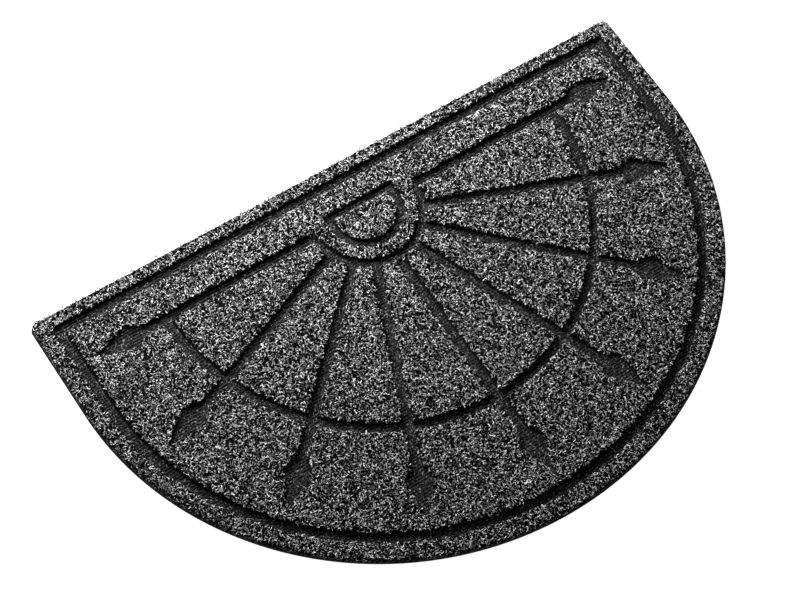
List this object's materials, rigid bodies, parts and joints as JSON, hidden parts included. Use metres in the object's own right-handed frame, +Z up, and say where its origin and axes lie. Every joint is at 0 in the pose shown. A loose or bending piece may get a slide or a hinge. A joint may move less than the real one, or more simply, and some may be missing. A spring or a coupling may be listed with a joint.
{
  "type": "doormat",
  "caption": "Half-round doormat, dark grey moulded pile with a fanlight pattern pressed in as grooves, on a thin black rubber backing.",
  "frame": {"origin": "under the middle of the mat's bounding box, on the ground", "axes": "+X along the straight edge, +Y towards the straight edge, +Z up out of the pile"},
  "size_m": [0.9876, 0.6154, 0.0096],
  "materials": {
    "pile": "coarse curled pile, heathered black and light grey",
    "backing": "matt black"
  },
  "bodies": {
    "root": {"pile_face": "pile", "backing": "backing"}
  },
  "joints": []
}
